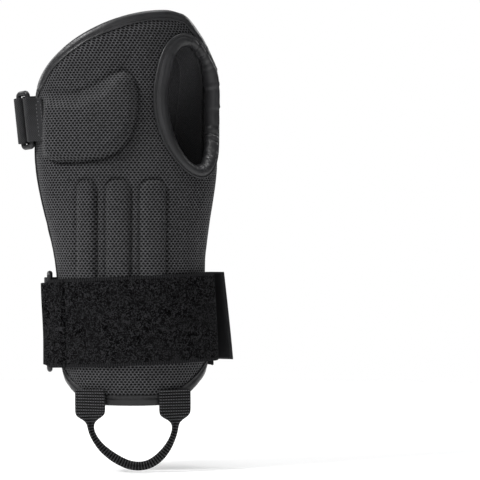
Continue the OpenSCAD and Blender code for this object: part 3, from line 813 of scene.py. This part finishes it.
# the rolled rim of the thumb hole: inset and height of each point of its section
RIM = [(-0.6, 3.0), (-0.6, 4.1), (-0.3, 4.5), (0.2, 4.45), (0.7, 4.0), (1.3, 4.2), (2.2, 4.75), (3.4, 4.8),
       (4.7, 4.2), (5.9, 2.95), (6.7, 1.4), (7.1, -0.4), (6.8, -2.1), (5.6, -3.2), (3.4, -3.9), (1.2, -4.0),
       (-1.0, -3.75), (-1.2, -2.9), (0.5, -1.0), (0.8, 1.0), (0.2, 2.4)]
RIM_ROUND = 190  # about the length of the rim
T = np.linspace(0, 360, 220, endpoint=False)
rings = np.stack([skin(*hole_chart(T, inset), off) for inset, off in RIM], 1)
from_middle = unit(rings - rings.mean(1, keepdims=True))
S_r, J_r = np.meshgrid(T / 360 * RIM_ROUND, np.arange(len(RIM)), indexing="ij")
folds = 0.55 * noise(S_r / 3.4 + 0.08 * J_r, J_r * 0.08 + 3, 5) + 0.35 * noise(S_r / 1.8, J_r * 0.12, 6)
folds = folds * (0.14 + 0.6 * smooth((cosd(T) + 0.45) / 0.9)[:, None])  # most on the thumb side
for at, deep, wide in ((334, 1.1, 1.7), (327, 0.8, 1.3), (342, 0.6, 1.5), (308, 0.5, 1.6), (52, 0.5, 1.5),
                       (66, 0.6, 1.4), (80, 0.5, 1.6)):
    folds -= deep * np.exp(-(((T - at + 180) % 360 - 180)[:, None] / wide + 0.25 * np.sin(J_r * 0.5)) ** 2)
seen = smooth((J_r - 4) / 2) * smooth((17.5 - J_r) / 2)
rings = rings + from_middle * (folds * seen)[..., None]
s = run_length(closed(rings[:, 4]))
around = np.arange(len(RIM) + 1) * 1.3
rim = tube("thumb_hole_rim", rings, LEATHER_SOFT_LIT, spread(s, around), looped=True)
place(rim, "guard", "leatherette", "thumb_hole_binding")
p, q = hole_chart(np.linspace(0, 360, 260), 0.7)
sew(skin(p, q, 4.05), skin(p, q, 2))


# -------- back panel

def dorsal_chart(u, z, inset):
    h = np.maximum(dorsal_half(z, inset), 0.4)
    return back_angle(dorsal_mid(z) + h * (1 - 2 * u), z)


def dorsal_z(v, inset):
    return lerp(D_LOW + inset, D_TOP - inset, (1 - cosd(180 * v)) / 2)


CHANNELS = [-17.5, -2.5, 17.0]


def back_near(phi, z):
    x = skin(phi, z, COVER)[..., 0]
    side = (dorsal_half(z) - np.abs(x - dorsal_mid(z))) * 1.1
    end = np.minimum(z - D_LOW, D_TOP - z) * 1.2
    return np.clip(np.minimum(side, end), 0, 30)


def back_face(phi, z):
    near = back_near(phi, z)
    x = skin(phi, z, COVER)[..., 0]
    ridge = 0.35 * np.cos((x + 8) / 17.5 * 2 * math.pi)
    for c in CHANNELS:
        ridge = ridge - 0.85 * hump(x - c - 1.5 * (z / 220 - 0.5), 1.7)
    ridge = ridge * smooth((z - 12) / 16) * smooth((214 - z) / 14) + 0.2 * noise(phi / 9, z / 17, 4)
    return lerp(EDGE_OUT, COVER + 0.3, smooth(near / 11)) + smooth((near - 3) / 7) * ridge


def back_lining(phi, z):
    return lerp(EDGE_IN, -3.2, smooth(back_near(phi, z) / 9)) + 0.15 * noise(phi / 9, z / 15, 6)


U, V = np.meshgrid(np.linspace(0, 1, 96), np.linspace(0, 1, 230))
Z = dorsal_z(V, EDGE_INSET)
PHI = dorsal_chart(U, Z, EDGE_INSET)
panel("back_panel", PHI, Z, back_face, back_lining, (0.4, -0.1), MESH_BACK,
      ("dorsal_cover", "dorsal_foam", "dorsal_stays"), "dorsal_lining")

# its outline, up the thumb side and down the other, evenly spaced and with its corners eased
z = dorsal_z(np.linspace(0, 1, 300), EDGE_INSET)
p = np.concatenate([dorsal_chart(0, z, EDGE_INSET), dorsal_chart(1, z, EDGE_INSET)[::-1]])
p, z = closed(p), closed(np.concatenate([z, z[::-1]]))
s = run_length(skin(p, z))
t = np.linspace(0, s[-1], int(s[-1] / step), endpoint=False)
p, z = np.interp(t, s, p), np.interp(t, s, z)
for _ in range(3):
    p, z = ((np.roll(v, 1) + 2 * v + np.roll(v, -1)) / 4 for v in (p, z))
tape("back_panel_tape", "dorsal_binding", p[::-1], z[::-1], 7.6, 4.6, back_face, back_lining, LEATHER,
     looped=True, ruffle=0.12, seed=2, lift=0.85)
stitches("edge_stitching", edge_runs, edge_norms, THREAD, pitch=3.2, length=2.3, r=0.19, body="guard")


# -------- gusset inside the thumb side

V, U = np.meshgrid(np.linspace(0, 1, 60), np.linspace(0, 1, 24), indexing="ij")
Z = lerp(30, lerp(203, 208, smooth(U * 1.3)), V)
palm_angle = thumb_edge(Z) - 366 - 9 * smooth((Z - 168) / 18)
panel_angle = back_angle(dorsal_mid(Z) + dorsal_half(Z) - 10.35, Z)
B = skin(lerp(palm_angle, panel_angle, U), Z, -4.8 + 0.2 * noise(U * 3, Z / 9, 1))
gusset = slab("thumb_side_gusset_sheet", B, 0.6, LINING, edge=0.4)
place(gusset, "guard", "lining_mesh", "thumb_side_gusset")
wide, long = (float(np.mean(np.linalg.norm(np.diff(B, axis=k), axis=-1).sum(k))) for k in (1, 0))


# -------- straps

def from_bar(outer, reach, along, out):
    """Places near a ring's outer bar: distances along the strap that leaves it, and one out from there."""
    along = np.asarray(along)
    way = np.array([cosd(reach), sind(reach)])
    return outer[:2] + along[:, None] * way + out * way[::-1] * [-1, 1]


def round_bar(bar, r, start, end, n):
    a = np.linspace(start, end, n)
    return bar[:2] + r * np.stack([cosd(a), sind(a)], 1)


def ring_sheet(bar, tilt):
    """A function that spreads (x, y) places along a ring's bar, which leans by the tilt."""
    def sheet(xy, q):
        dx = xy[:, :1] - bar[0]
        x = bar[0] + dx * cosd(tilt) - q * sind(tilt)
        z = bar[2] + dx * sind(tilt) + q * cosd(tilt)
        return np.stack(np.broadcast_arrays(x, xy[:, 1:], z), -1)
    return sheet


hand_ring = ("hand", ring_sheet(hand_bar, TILT), hand_outer, hand_reach)
fore_ring = ("forearm", ring_sheet(fore_bar, 0.0), fore_outer, fore_reach)


def hand_back_sheet(xs, q, off):
    """The hand strap on the back panel: x of its middle line, places across it, height above the tube."""
    x = xs[:, None] - q * sind(TILT)
    z = 161.0 + (xs[:, None] - hand_outer[0]) * math.tan(math.radians(TILT)) + q * cosd(TILT)
    return skin(back_angle(x, z), z, off)


def fore_back_sheet(phis, q, off):
    """The forearm strap, or its band: angles along it, places across it, height above the tube's middle."""
    return skin(phis[:, None], FORE_Z + q[None, :], np.reshape(off, (-1, 1)))


def bridge(A, B, n):
    """Stations between two rows of points, without the ends."""
    return A[None] + (B - A)[None] * np.linspace(0, 1, n + 2)[1:-1, None, None]


def smooth_rows(P, times, keep=2):
    """Each row averaged with its neighbours, some times over; the first and last few stay."""
    for _ in range(times):
        Q = P.copy()
        Q[1:-1] = (P[:-2] + 2 * P[1:-1] + P[2:]) / 4
        Q[:keep], Q[-keep:] = P[:keep], P[-keep:]
        P = Q
    return P


def blend(o):
    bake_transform(o)


def base_strap(ring, cloth, node, q, on_back, gap, mat):
    """The fixed strap: it lies on the back panel, and its end reaches over to the ring's outer bar."""
    side, sheet, outer, reach = ring
    at_bar = sheet(from_bar(outer, reach, [0.6], -TURN_R), q)
    rows = smooth_rows(np.concatenate([at_bar, bridge(at_bar[0], on_back[0], gap), on_back]), 3)
    cut = gap + 2
    place(slab(cloth, rows[cut:], PILE_T, mat, ends=(False, True)), "guard", "loop_pile", node)
    o = slab(side + "_strap_base_reach", rows[:cut + 1], PILE_T, mat, ends=(True, False))
    place(o, None, "loop_pile")
    blend(o)


def strap_turn(ring, q):
    """The strap's turn round the ring's outer bar."""
    side, sheet, outer, reach = ring
    xy = np.concatenate([from_bar(outer, reach, [1.4, 0.7], -TURN_R),
                         round_bar(outer, TURN_R, reach - 90, reach - 270, 23),
                         from_bar(outer, reach, [0.7, 1.5, 2.4, 3.3, 4.2], TURN_R)])
    o = slab(side + "_strap_turn_cloth", sheet(xy, q), STRAP_T, TWILL, ends=(True, False))
    place(o, None, "webbing", side + "_strap_turn")
    out = np.array([-sind(reach), cosd(reach), 0])
    blend(o)


def lift_end(rows, first, height):
    """The rows, raised smoothly from the first to 32 rows on."""
    rows[..., 2] += height * smooth((np.arange(len(rows)) - first) / 32)[:, None]
    return rows


def flap(ring, q, on_back, gap, end_lift=0.0):
    """The strap's free end over the back panel; the last of it can stand a little higher."""
    side, sheet, outer, reach = ring
    start = sheet(from_bar(outer, reach, [4.0], TURN_R), q)
    rows = smooth_rows(np.concatenate([start, bridge(start[0], on_back[0], gap), on_back]), 3)
    rows = lift_end(rows, 45, end_lift)
    o = slab(side + "_strap_flap_cloth", rows, STRAP_T, TWILL, ends=(False, True))
    place(o, side + "_strap_flap", "webbing", side + "_strap_free_end")
    return rows


def hook(side, rows):
    o = slab(side + "_strap_hook", rows, HOOK_T, HOOK)
    place(o, side + "_strap_flap", "hook_tape", side + "_strap_hook_patch")


def out_sign(rows, N, i, j, y=0.0):
    """1 if the grid's normals leave the guard there, otherwise -1."""
    return 1 if np.dot(N[i, j], rows[i, j] * [1, 1, 0] - np.array([0, y, 0])) > 0 else -1


def strap_threads(name, rows, lines, ends, thick, body, pitch=2.9, mat=DARK_THREAD):
    """Stitches along a strap, as (place across, from, to), and across it, as (place along, from, to)."""
    middle = rows.shape[1] // 2
    N = grid_normals(rows)
    N = N * out_sign(rows, N, len(N) // 2, middle, 5)
    s, w = sheet_lengths(rows)
    runs, norms = [], []
    for is_end, (fixed, start, end) in [(False, r) for r in lines] + [(True, r) for r in ends]:
        moving = np.arange(start, end, 0.8)
        still = np.full(len(moving), fixed)
        place_on = (s, w, still, moving) if is_end else (s, w, moving, still)
        n = on_grid(N, *place_on)
        runs.append(on_grid(rows, *place_on) + n * thick / 2)
        norms.append(n)
    stitches(name, runs, norms, mat, pitch=pitch, length=pitch * 0.6, r=0.2, body=body)


# hand strap
q = edge_samples(27.5, 17)
on_back = hand_back_sheet(np.linspace(LEAVE_X, 48.0, 60), q, BASE_MID)
base_strap(hand_ring, "hand_strap_base", "hand_strap_pile_base", q, on_back, 9, PILE_NARROW)
q = edge_samples(26.0, 17)
strap_turn(hand_ring, q)
rows = flap(hand_ring, q, hand_back_sheet(np.linspace(LEAVE_X, 31.0, 54), q, FREE_MID), 8)
L = sheet_lengths(rows)[0][-1]
strap_threads("hand_strap_stitching", rows, [(2.4, L - 70, L - 2.0), (23.6, L - 70, L - 2.0)],
              [(L - 2.4, 2.4, 23.6), (L - 5.4, 2.4, 23.6), (L - 70, 2.4, 23.6)], STRAP_T, "hand_strap_flap")
hook("hand", hand_back_sheet(np.linspace(-21.0, 30.0, 40), edge_samples(24.0, 15), HOOK_MID))

# the webbing tab that keeps the hand ring
q = edge_samples(25.0, 15)
eye = hand_ring[1](round_bar(hand_bar, 2.3, -95, -292, 28), q)
angle, height = np.linspace(209, 202, 8)[:, None], np.linspace(4.7, 5.4, 8)[:, None]
front = skin(angle - 0.29 * q, 161.5 + q * cosd(TILT), height)
rows = smooth_rows(np.concatenate([front, bridge(front[-1], eye[0], 3), eye]), 2)
place(slab("hand_ring_tab", rows, TAB_T, TWILL), "guard", "webbing", "hand_ring_keeper")
strap_threads("hand_ring_tab_stitching", rows, [(1.8, 0.8, 5), (23.2, 0.8, 5)],
              [(1.0, 1.6, 23.4), (4.4, 1.6, 23.4)], TAB_T, "guard", pitch=2.2, mat=LIGHT_THREAD)

# forearm strap
TIP_DIR = np.array([0.86, -0.51, 0])


def with_tip(rows, q, length, n):
    """The rows carried straight on past the last one, to a tip cut a little slanted."""
    tip = rows[-1] + TIP_DIR * (length - 1.6 * (q / 25.0))[:, None]
    return np.concatenate([rows, bridge(rows[-1], tip, n), tip[None]])


fore_q = edge_samples(50.0, 25)
on_back = fore_back_sheet(np.linspace(LEAVE_A, -2.0, 74), fore_q, BASE_MID)
base_strap(fore_ring, "forearm_strap_base_pile", "forearm_strap_base", fore_q, on_back, 7, PILE)
strap_turn(fore_ring, fore_q)
on_back = with_tip(fore_back_sheet(np.linspace(LEAVE_A, 28.0, 66), fore_q, FREE_MID), fore_q, 17.0, 14)
END_LIFT = 3.0
free_rows = flap(fore_ring, fore_q, on_back, 5, END_LIFT)
free_s, free_w = sheet_lengths(free_rows)
L = free_s[-1]
strap_threads("forearm_strap_stitching", free_rows, [(3.0, L - 84, L - 1.5), (47.0, L - 84, L - 1.5)],
              [(L - 2.2, 3.0, 47.0), (L - 84, 3.0, 47.0)], STRAP_T, "forearm_strap_flap")
q = edge_samples(48.0, 21)
hook_rows = with_tip(fore_back_sheet(np.linspace(88.0, 28.0, 34), q, HOOK_MID), q, 15.8, 12)
hook("forearm", lift_end(hook_rows, 12, END_LIFT))

# a plain geometric print on it: a row of triangles, point up and point down in turn
PRINT_W, PRINT_H, PRINT_START, PRINT_PITCH = 25.0, 29.0, 3.0, 16.2
free_N = grid_normals(free_rows)
free_N = free_N * out_sign(free_rows, free_N, 30, 15)


def on_strap(si, wi, lift):
    place_on = (free_s, free_w, si, wi)
    return on_grid(free_rows, *place_on) + on_grid(free_N, *place_on) * (STRAP_T / 2 + lift)


verts, faces = [], []
room = L - 13.0 - PRINT_W
count = int(room / PRINT_PITCH) + 1
quads, _ = grid_faces(17, 9)
under = 17 * 9
ids = np.arange(under).reshape(17, 9)
edge = np.concatenate([ids[0], ids[1:, -1], ids[-1, -2::-1], ids[-2:0:-1, 0]])
after = np.roll(edge, -1)
wall = np.stack([after, edge, edge + under, after + under], 1)
a, b = np.meshgrid(np.linspace(0, 1, 17), np.linspace(0, 1, 9), indexing="ij")
for index in range(count):
    narrow = a if index % 2 == 0 else 1 - a
    centre = PRINT_START + PRINT_W / 2 + index * room / (count - 1)
    si = centre + (b - 0.5) * PRINT_W * (0.06 + 0.94 * narrow)
    wi = 25 + (a - 0.5) * PRINT_H
    base = len(verts)
    for lift in (0.09, 0.01):
        verts += on_strap(si, wi, lift).reshape(-1, 3).tolist()
    faces += (np.concatenate([quads, quads[:, ::-1] + under, wall]) + base).tolist()
triangles = new_mesh("forearm_strap_triangles", np.array(verts), faces, PRINT)
place(triangles, "forearm_strap_flap", "white_print", "forearm_strap_print")

# the pile band across the palm side, round the ring's bar and back under itself
BAND_LEAN = 0.043  # rise for each unit across the palm
phis = np.linspace(356.0, 224.0, 84)
on_palm = fore_back_sheet(phis, fore_q, BAND_MID + 3.6 * smooth((phis - 316) / 36))
aim = angle_to(fore_bar, skin(224.0, FORE_Z, BAND_MID))
eye = fore_ring[1](round_bar(fore_bar, 3.15, aim - 90, aim - 285, 26), fore_q)
rows = smooth_rows(np.concatenate([on_palm, bridge(on_palm[-1], eye[0], 7), eye]), 4)
rows[..., 2] += BAND_LEAN * (rows[..., 0] + 52) - 1.5
# where it folds round the bar it is slack at the top, and its selvedges are drawn in a little
slack = smooth((fore_bar[0] - rows[..., 0]) / 1.5) * smooth((fore_q + 12) / 37)
rows[..., 0] -= slack * 1.4 * np.clip((fore_bar[0] - rows[..., 0]) / 3, 0, 1)
rows[..., 2] -= smooth((fore_bar[0] + 1 - rows[..., 0]) / 4) * 1.8 * (fore_q / 25) ** 9
# a stitched step where the turned-back layer ends, and the pile's tufts standing off its face
rows = refine(rows, 0.52)
N = grid_normals(rows)
outer_side = out_sign(rows, N, 30, 12)
s, w = run_length(rows[:, 5]), run_length(rows[0])
x = rows[:, rows.shape[1] // 2, 0]
front = smooth((s[-1] - 14 - s) / 6)
doubled = 0.6 * smooth((-34.5 - x) / 1.2) * smooth((x + 48) / 6)
seam = -0.9 * hump(x + 34.0, 0.8)
rows = rows + outer_side * N * ((doubled + seam) * front)[:, None, None]
if outer_side < 0:
    rows = rows[:, ::-1]
S, W = np.meshgrid(s, w, indexing="ij")
tufts = 0.26 * np.abs(noise(S / 0.8, W / 0.8, 2)) + 0.1 * np.abs(noise(S / 1.9, W / 1.9, 5))
tufts = tufts + np.random.default_rng(5).uniform(0, 0.16, S.shape)
hem = np.minimum(np.minimum(W, w[-1] - W), S)
tufts = np.clip(tufts, 0, 0.55) * smooth((hem - 0.8) / 1.2)
band = slab("forearm_pile_band_cloth", rows, BAND_T, PILE, raised=tufts * front[:, None])
place(band, "guard", "loop_pile", "forearm_pile_band", "forearm_band_loop")


# -------- rings, which are right as they are

for name in ("hand_ring", "forearm_ring"):
    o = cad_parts[name]
    o.data.materials.clear()
    o.data.materials.append(PLASTIC)


# -------- pull loop

TAB_LOW, TAB_HIGH, TAB_OUT = -6.0, 9.5, 5.3
tab_phi = (234.5, 303.0)
tab_y = (skin(tab_phi[0], TAB_LOW, TAB_OUT) + skin(tab_phi[1], TAB_LOW, TAB_OUT))[1] / 2
# the loop's middle line in x and z, from one tab to the other
way = np.array([
    [-19.4, -9.2], [-19.6, -12.5], [-17.6, -17.5], [-13.2, -23.4], [-6.4, -28.8], [1.0, -32.6], [7.4, -33.8],
    [13.6, -32.6], [19.4, -28.6], [24.2, -22.6], [27.0, -16.6], [28.2, -11.8], [28.0, -9.0]])
way = resample(np.stack([way[:, 0], np.full(len(way), tab_y), way[:, 1]], 1), 1.5)
down = np.linspace(TAB_HIGH, -5.0, 17)
C = np.concatenate([skin(tab_phi[0], down, TAB_OUT), way, skin(tab_phi[1], down[::-1], TAB_OUT)])
C = resample(smooth_rows(C, 4, 10), 0.9)
arc_s = run_length(C)
along = unit(np.gradient(C, axis=0))
end_dist = np.minimum(arc_s, arc_s[-1] - arc_s)
on_tab = 1 - smooth((end_dist - 11.5) / 8.0)  # 1 on the tabs, 0 round the loop
low_part = smooth((-16 - C[:, 2]) / 14)
tab_profile = np.interp(end_dist, [0, 1.5, 8, 12.5, 14.2, 15.5, 16.5, 17.6, 19.5, 22],
                        [8.9, 9.3, 9.4, 9.3, 8.6, 7.1, 5.0, 3.1, 2.1, 1.75])
half_width = np.maximum(tab_profile, lerp(1.75, 2.5, low_part) * (1 - on_tab))
half_width = smooth_rows(half_width, 2, 1)
half_thick = lerp(lerp(2.0, 1.5, low_part), 0.72, on_tab) + 0.45 * smooth((3.4 - end_dist) / 0.8)


def tab_side(phi, lean):
    """The way across a tab, which leans a little."""
    v = unit(skin(phi + 1, -4.0, TAB_OUT) - skin(phi - 1, -4.0, TAB_OUT))
    return v * cosd(lean) + np.array([0, 0, sind(lean)])


n = len(C)
flat = np.where(np.arange(n)[:, None] < n / 2, tab_side(tab_phi[0], -6.0), tab_side(tab_phi[1], 9.0))
bent = unit(np.stack([-along[:, 2], 0 * arc_s, along[:, 0]], 1))
turned = (np.sum(bent * flat, 1) < 0) & (np.abs(along[:, 2]) > 0.6) & (on_tab > 0)
flat = np.where(turned[:, None], -flat, flat)
sides = lerp(bent, flat, on_tab[:, None])
sides = unit(sides - along * np.sum(sides * along, 1)[:, None])
normals = np.cross(along, sides)
angs = np.linspace(0, 2 * math.pi, 36, endpoint=False)[None, :]
power = 2 / lerp(2.4, 5.0, on_tab)[:, None]
wide, high = (np.sign(f(angs)) * np.abs(f(angs)) ** power for f in (np.cos, np.sin))
# the folded tape shows the slot between its two selvedges
slot = sum(0.4 * hump(angs - a, 0.16) for a in (math.pi / 2, 3 * math.pi / 2))
high = high * (1 - (1 - on_tab)[:, None] * slot)
rings = C[:, None] + sides[:, None] * (half_width[:, None] * wide)[..., None]
rings = rings + normals[:, None] * (half_thick[:, None] * high)[..., None]
if normals[4] @ (skin(tab_phi[0], 4.0, 6) - skin(tab_phi[0], 4.0, 5)) < 0:
    rings = rings[:, ::-1]
around = np.append(run_length(rings[3]), 36.0)
loop = place(tube("pull_loop_webbing", rings, RIBBED, spread(arc_s, around)), None, "ribbed_webbing",
             "pull_loop", "pull_loop_anchor_ulnar", "pull_loop_anchor_thumb")
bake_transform(loop)

# a box of stitches on each tab
BOX_HALF, BOX_Z = 6.8, (7.6, -0.6)
runs = []
for phi in tab_phi:
    half = BOX_HALF / arc(phi, 3.0)
    for z in BOX_Z:
        runs.append(skin(np.linspace(phi - half, phi + half, 14), z, 6.06))
    for side in (-1, 1):
        runs.append(skin(phi + side * half, np.linspace(BOX_Z[1], BOX_Z[0], 12), 6.02))
norms = [unit(r * [1, 1, 0] - np.array([4.8, 0, 0])) for r in runs]
stitches("pull_loop_stitching", runs, norms, THREAD, pitch=2.1, length=1.6, r=0.17, body="guard")


# -------- stage

def link(name, data):
    o = bpy.data.objects.new(name, data)
    bpy.context.scene.collection.objects.link(o)
    return o


paint = Net("floor")
paint.look(Base_Color=(0.86, 0.86, 0.86, 1), Roughness=0.9,
           Emission_Color=(1, 1, 1, 1), Emission_Strength=0.24)
FLOOR_Z, FLOOR_R, FLOOR_SIDES = -0.0368, 0.95, 96
turns = [2 * math.pi * i / FLOOR_SIDES for i in range(FLOOR_SIDES)]
me = bpy.data.meshes.new("floor")
spokes = [(FLOOR_R * math.cos(a), FLOOR_R * math.sin(a), FLOOR_Z) for a in turns]
me.from_pydata(spokes, [], [tuple(range(FLOOR_SIDES))])
me.materials.append(paint.material)
link("floor", me)

# the world is white to the camera and lights the guard only a little
world = bpy.data.worlds.new("studio")
bpy.context.scene.world = world
world.use_nodes = True
nt = world.node_tree
nt.nodes.clear()
out, seen, lit, mix, ray = (nt.nodes.new("ShaderNode" + kind) for kind in (
    "OutputWorld", "Background", "Background", "MixShader", "LightPath"))
for node, color, strength in ((seen, (1, 1, 1, 1), 1.0), (lit, (0.97, 0.98, 1, 1), 0.1)):
    node.inputs[0].default_value = color
    node.inputs[1].default_value = strength
for a, b in ((ray.outputs["Is Camera Ray"], mix.inputs[0]), (lit.outputs[0], mix.inputs[1]),
             (seen.outputs[0], mix.inputs[2]), (mix.outputs[0], out.inputs[0])):
    nt.links.new(a, b)

# name, place, height it points at, width and height, power
for name, loc, aim_at, size, power in (
        ("key", (-1.05, -0.62, 1.2), 0.1, (0.4, 0.4), 21),
        ("fill", (1.2, -1.0, 0.35), 0.1, (0.8, 0.8), 1.6),
        ("front", (-0.1, -1.6, 0.5), 0.1, (0.5, 0.5), 2.0),
        ("top", (0.1, 0.1, 1.5), 0.0, (0.8, 0.8), 12),
        ("rim_left", (-1.1, 0.9, 0.8), 0.1, (0.7, 0.9), 8),
        ("rim_right", (1.0, 1.1, 0.9), 0.1, (0.7, 0.9), 8)):
    light = bpy.data.lights.new(name, "AREA")
    light.shape = "RECTANGLE"
    light.size, light.size_y = size
    light.energy = power
    o = link(name, light)
    o.location = loc
    o.rotation_mode = "QUATERNION"
    o.rotation_quaternion = (Vector((0, 0, aim_at)) - Vector(loc)).to_track_quat("-Z", "Y")

# the camera looks straight at the palm side, from far off
LENS, SENSOR = 200, 36
SEEN_W = 271.2 * MM  # width of the picture at the guard's palm side
camera = bpy.data.cameras.new("camera")
camera.lens, camera.sensor_width = LENS, SENSOR
camera.clip_start, camera.clip_end = 0.05, 100
o = link("camera", camera)
o.location = (64.2405 * MM, -SEEN_W * LENS / SENSOR - 12 * MM, 93.225 * MM)
o.rotation_euler = (math.pi / 2, 0, 0)
bpy.context.scene.camera = o
bpy.context.scene.view_settings.view_transform = "Standard"
